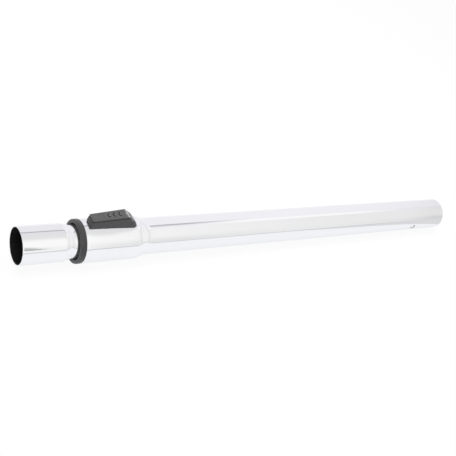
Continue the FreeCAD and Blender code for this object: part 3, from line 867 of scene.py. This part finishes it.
def arrow_tool(index):
    """An arrow head as a prism across the sloping top, pointing towards the collar; its faces leave the
    darker plastic in the cut groove as painted shade.
    """
    tail = BUTTON_TOP_END - ARROW_SETBACK - index * ARROW_PITCH
    corners = [
        (tail - ARROW_REACH, 0), (tail, ARROW_HALF), (tail + ARROW_LINE, ARROW_HALF),
        (tail - ARROW_REACH + ARROW_LINE, 0), (tail + ARROW_LINE, -ARROW_HALF), (tail, -ARROW_HALF),
    ]
    work = bmesh.new()
    low = [work.verts.new((x, y, top_height(x) - ARROW_DEPTH)) for x, y in corners]
    high = [work.verts.new((x, y, top_height(x) + ARROW_DEPTH)) for x, y in corners]
    for side in range(len(corners)):
        quad(work, low, high, side)
    for ring in (low, high):
        work.faces.new((ring[0], ring[1], ring[2], ring[3]))
        work.faces.new((ring[3], ring[4], ring[5], ring[0]))
    # the darker plastic passes to the cut groove as painted shade
    return finish_mesh("tool", work, [CREASE_SHADE_PLASTIC])


def combine(piece, tool, operation):
    """Joins or cuts a piece with a tool, which is then removed."""
    modifier = piece.modifiers.new("tool", "BOOLEAN")
    modifier.operation = operation
    modifier.solver = "EXACT"
    modifier.material_mode = "TRANSFER"
    modifier.object = tool
    bpy.context.view_layer.update()
    shaped = piece.evaluated_get(bpy.context.evaluated_depsgraph_get())
    mesh = bpy.data.meshes.new_from_object(shaped)
    piece.modifiers.clear()
    piece.data = mesh
    bpy.data.objects.remove(tool)


def spring_path():
    """The middle line of the folded strip, as points (x, y)."""
    fold = (SPRING_END - SPRING_START - SPRING_STRIP) / SPRING_FOLDS
    half = SPRING_HALF - SPRING_STRIP / 2
    line = []
    for index in range(SPRING_FOLDS + 1):
        x = SPRING_START + SPRING_STRIP / 2 + index * fold
        line.append(Vector((x, half if index % 2 else -half)))
    path = [line[0]]
    for before, corner, after in zip(line, line[1:], line[2:]):
        turned = curve_corner(before, corner, after, SPRING_BEND, SPRING_BEND_STEPS)
        path += [Vector(point) for point in turned]
    path.append(line[-1])
    return path


def make_spring():
    """A steel strip folded to and fro with round bends, between the bay's wall and the carriage."""
    path = spring_path()
    work = bmesh.new()
    columns = []
    for index, point in enumerate(path):
        ahead = path[min(index + 1, len(path) - 1)] - path[max(index - 1, 0)]
        side = Vector((-ahead.y, ahead.x)).normalized() * SPRING_STRIP / 2
        left, right = point + side, point - side
        corners = ((left, SPRING_LOW), (left, SPRING_HIGH), (right, SPRING_HIGH), (right, SPRING_LOW))
        columns.append([work.verts.new((place.x, place.y, z)) for place, z in corners])
    for column, following in zip(columns, columns[1:]):
        for corner in range(len(column)):
            quad(work, column, following, corner)
    work.faces.new(columns[0])
    work.faces.new(columns[-1])
    piece = finish_mesh("spring_strip", work, [SPRING_STEEL], sharp_degrees=40.0)
    stand_for(piece, "return_spring", "lower_tube")
    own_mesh(piece)


def make_camera():
    data = bpy.data.cameras.new("camera")
    data.sensor_width = SENSOR
    data.lens = FOCAL_PIXELS / IMAGE_WIDTH * SENSOR
    data.clip_start = CLIP_START
    camera = bpy.data.objects.new("camera", data)
    back = CAMERA_RIGHT.cross(CAMERA_UP)
    turn = Matrix((CAMERA_RIGHT, CAMERA_UP, back)).transposed().to_4x4()
    camera.matrix_world = Matrix.Translation(CAMERA_PLACE) @ turn
    bpy.context.scene.collection.objects.link(camera)
    bpy.context.scene.camera = camera


def seen_directly(tree):
    """1 for rays from the camera and for mirrored or refracted ones, 0 for soft light."""
    path = add_node(tree, "ShaderNodeLightPath").outputs
    share = calc(tree, "MAXIMUM", path["Is Camera Ray"], path["Is Glossy Ray"])
    return calc(tree, "MAXIMUM", share, path["Is Transmission Ray"])


def floor_height(x):
    """The floor touches the head and the nozzle end, which are not equally thick."""
    head_end = HEAD_START + HEAD_LENGTH
    return -HEAD_RADIUS + (HEAD_RADIUS - OUTER_RADIUS) * (x - head_end) / (OUTER_END - head_end)


def floor_material():
    """Pale paint that takes the wand's shadow over an even white."""
    material, tree = bare_material("pale_floor")
    soft = add_node(tree, "ShaderNodeBsdfDiffuse", {"Color": grey(FLOOR_PAINT)})
    path = add_node(tree, "ShaderNodeLightPath").outputs
    colour = blend_colours(tree, path["Is Glossy Ray"], grey(1.0), FLOOR_MIRRORED)
    bright = add_node(tree, "ShaderNodeEmission", {"Color": colour, "Strength": 1.0})
    share = calc(tree, "MULTIPLY", seen_directly(tree), FLOOR_GLOW)
    mix = add_node(tree, "ShaderNodeMixShader", {0: share, 1: soft.outputs[0], 2: bright.outputs[0]})
    add_node(tree, "ShaderNodeOutputMaterial", {"Surface": mix.outputs[0]})
    return material


def make_floor():
    """A pale sheet under the wand."""
    slope = math.atan(floor_height(1.0) - floor_height(0.0))
    work = bmesh.new()
    sides = ((-1, -1), (1, -1), (1, 1), (-1, 1))
    work.faces.new([work.verts.new((x * FLOOR_REACH, y * FLOOR_REACH, 0)) for x, y in sides])
    floor = finish_mesh("floor", work, [floor_material()])
    tilt = Matrix.Rotation(-slope, 4, "Y")
    floor.matrix_world = Matrix.Translation((0, 0, floor_height(0.0))) @ tilt


def band(tree, value, centre, half, soft):
    """1 within half of the centre, falling smoothly to 0 outside."""
    away = calc(tree, "ABSOLUTE", calc(tree, "SUBTRACT", value, centre))
    return remap(tree, away, (half, half + soft), (1.0, 0.0), smooth=True)


def tent_levels(tree, along):
    """Brightness of the tent's middle, of its back and of the shade low in front."""
    node = add_node(tree, "ShaderNodeValToRGB", {"Fac": along})
    ramp = node.color_ramp
    while len(ramp.elements) < len(TENT_LEVELS):
        ramp.elements.new(1.0)
    for element, (place, middle, back, shade) in zip(ramp.elements, TENT_LEVELS):
        element.position = place
        element.color = (middle, back, shade, 1.0)
    return add_node(tree, "ShaderNodeSeparateColor", {0: node.outputs["Color"]}).outputs


def tent_places(tree):
    """A ray's part along the wand, its turn from straight up, and its turn past the tent's seam."""
    ray = add_node(tree, "ShaderNodeTexCoord").outputs["Generated"]
    parts = add_node(tree, "ShaderNodeSeparateXYZ", {0: ray}).outputs
    along = parts["X"]
    turn = calc(tree, "ARCTAN2", calc(tree, "MULTIPLY", parts["Y"], -1.0), parts["Z"])
    turn = calc(tree, "MULTIPLY", turn, 180 / math.pi)
    past_seam = calc(tree, "SUBTRACT", turn, remap(tree, along, SEAM_ALONG, SEAM_TURN))
    return along, turn, past_seam


def tent_level(tree, along, turn, past_seam, near_end):
    """Brightness of the cloth: grey near the seam, shaded low in front, and with its own level behind."""
    middle, back, front_shade = tent_levels(tree, along)
    reach = remap(tree, along, GREY_ALONG, GREY_REACH)
    share_past = calc(tree, "DIVIDE", past_seam, reach)
    grey_share = remap(tree, share_past, GREY_FADE, (GREY_DEPTH, 0.0), smooth=True)
    grey_share = calc(tree, "MULTIPLY", grey_share, near_end)
    shade = calc(tree, "MULTIPLY", front_shade, remap(tree, turn, SHADE_TURN, (0.0, 1.0), smooth=True))
    light_left = calc(tree, "SUBTRACT", 1.0, calc(tree, "ADD", grey_share, shade))
    front = calc(tree, "MULTIPLY", middle, light_left)
    behind = remap(tree, past_seam, (-BACK_SOFT, BACK_SOFT), (1.0, 0.0))
    front = calc(tree, "MULTIPLY", front, calc(tree, "SUBTRACT", 1.0, behind))
    return calc(tree, "ADD", front, calc(tree, "MULTIPLY", back, behind))


def gap_share(tree, along, turn):
    """1 in a slit low in front, which narrows along the wand, and 0 outside it."""
    above_gap = calc(tree, "SUBTRACT", GAP_TURN, turn)
    reach = remap(tree, along, GAP_ALONG, (GAP_REACH, 0.0))
    reach = calc(tree, "MULTIPLY", reach, calc(tree, "GREATER_THAN", along, GAP_START))
    under_top = calc(tree, "LESS_THAN", above_gap, reach)
    return calc(tree, "MULTIPLY", calc(tree, "GREATER_THAN", above_gap, 0.0), under_top)


def tent_colour(tree):
    """A white light tent as the chrome mirrors it: a seam overhead, a darker back, and a grey far end."""
    along, turn, past_seam = tent_places(tree)
    near_end = remap(tree, along, NEAR_END_ALONG, (1.0, 0.0), smooth=True)
    level = tent_level(tree, along, turn, past_seam, near_end)
    colour = add_node(tree, "ShaderNodeCombineColor", {0: level, 1: level, 2: level}).outputs[0]
    tinted = remap(tree, past_seam, (0.0, TINT_REACH), (1.0, 0.0))
    colour = blend_colours(tree, tinted, colour, blend_colours(tree, 1.0, colour, BACK_TINT, "MULTIPLY"))
    seam_line = calc(tree, "MULTIPLY", band(tree, past_seam, 0.0, SEAM_HALF, SEAM_SOFT), near_end)
    colour = blend_colours(tree, seam_line, colour, SEAM_COLOUR)
    far_end = calc(tree, "SUBTRACT", 1.0, near_end)
    bright_line = calc(tree, "MULTIPLY", band(tree, past_seam, LINE_TURN, LINE_HALF, LINE_SOFT), far_end)
    bright_line = calc(tree, "MULTIPLY", bright_line, remap(tree, along, LINE_ALONG, (1.0, 0.0)))
    colour = blend_colours(tree, bright_line, colour, grey(1.0))
    return blend_colours(tree, gap_share(tree, along, turn), colour, GAP_COLOUR)


def mirrored_sheet(name, corners, colour):
    """A sheet there only for the chrome to mirror."""
    work = bmesh.new()
    work.faces.new([work.verts.new(corner) for corner in corners])
    material, tree = bare_material(name)
    glow = add_node(tree, "ShaderNodeEmission", {"Color": colour, "Strength": 1.0})
    add_node(tree, "ShaderNodeOutputMaterial", {"Surface": glow.outputs[0]})
    sheet = finish_mesh(name, work, [material])
    sheet.visible_camera = False
    sheet.visible_shadow = False
    sheet.visible_diffuse = False


def make_cards():
    """A low grey card in front of the wand, and one lying on the floor by the nozzle end."""
    low, high = -HEAD_RADIUS, -HEAD_RADIUS + CARD_HEIGHT
    outline = ((CARD_START, low), (CARD_END, low), (CARD_END, high), (CARD_START, high))
    mirrored_sheet("grey_card", [(x, -CARD_AWAY, z) for x, z in outline], CARD_COLOUR)
    lying = [(x, y, floor_height(x) + FLOOR_CARD_LIFT) for x, y in FLOOR_CARD]
    mirrored_sheet("floor_card", lying, FLOOR_CARD_COLOUR)


def make_world():
    """White to the camera, the light tent to the chrome, and an even soft light to all else."""
    world = bpy.data.worlds.new("studio")
    world.use_nodes = True
    tree = world.node_tree
    tree.nodes.clear()
    path = add_node(tree, "ShaderNodeLightPath").outputs
    mirrored = calc(tree, "MAXIMUM", path["Is Glossy Ray"], path["Is Transmission Ray"])
    colour = blend_colours(tree, mirrored, grey(SOFT_LIGHT), tent_colour(tree))
    colour = blend_colours(tree, path["Is Camera Ray"], colour, grey(1.0))
    backdrop = add_node(tree, "ShaderNodeBackground", {"Color": colour, "Strength": 1.0})
    add_node(tree, "ShaderNodeOutputWorld", {"Surface": backdrop.outputs[0]})
    bpy.context.scene.world = world


def area_lamp(name, power, size, place, aim):
    lamp = bpy.data.lights.new(name, "AREA")
    lamp.shape = "RECTANGLE"
    lamp.size, lamp.size_y = size
    lamp.energy = power
    holder = bpy.data.objects.new(name, lamp)
    holder.location = place
    holder.rotation_euler = (Vector(aim) - Vector(place)).to_track_quat("-Z", "Y").to_euler()
    bpy.context.scene.collection.objects.link(holder)
    return holder


def make_lamps():
    """A large soft lamp above, and a small one far behind for the gloss on the button."""
    top_lamp = area_lamp("top_lamp", power=29.0, size=(1.6, 1.2), place=(0.1, 0.1, 1.5), aim=(0.2, 0, 0))
    top_lamp.visible_glossy = False
    back_lamp = area_lamp("back_lamp", power=3.6, size=(0.5, 0.4),
                          place=(0.80, 0.66, 0.32), aim=(0.1, 0, 0.03))
    plastics = bpy.data.collections.new("plastics")
    plastics.objects.link(bpy.data.objects["button_moulding"])
    back_lamp.light_linking.receiver_collection = plastics


bpy.context.scene.view_settings.view_transform = "Standard"
paint_nodes()
make_outer_tube()
make_inner_tube()
make_collar()
make_button()
make_spring()
make_camera()
make_floor()
make_cards()
make_world()
make_lamps()
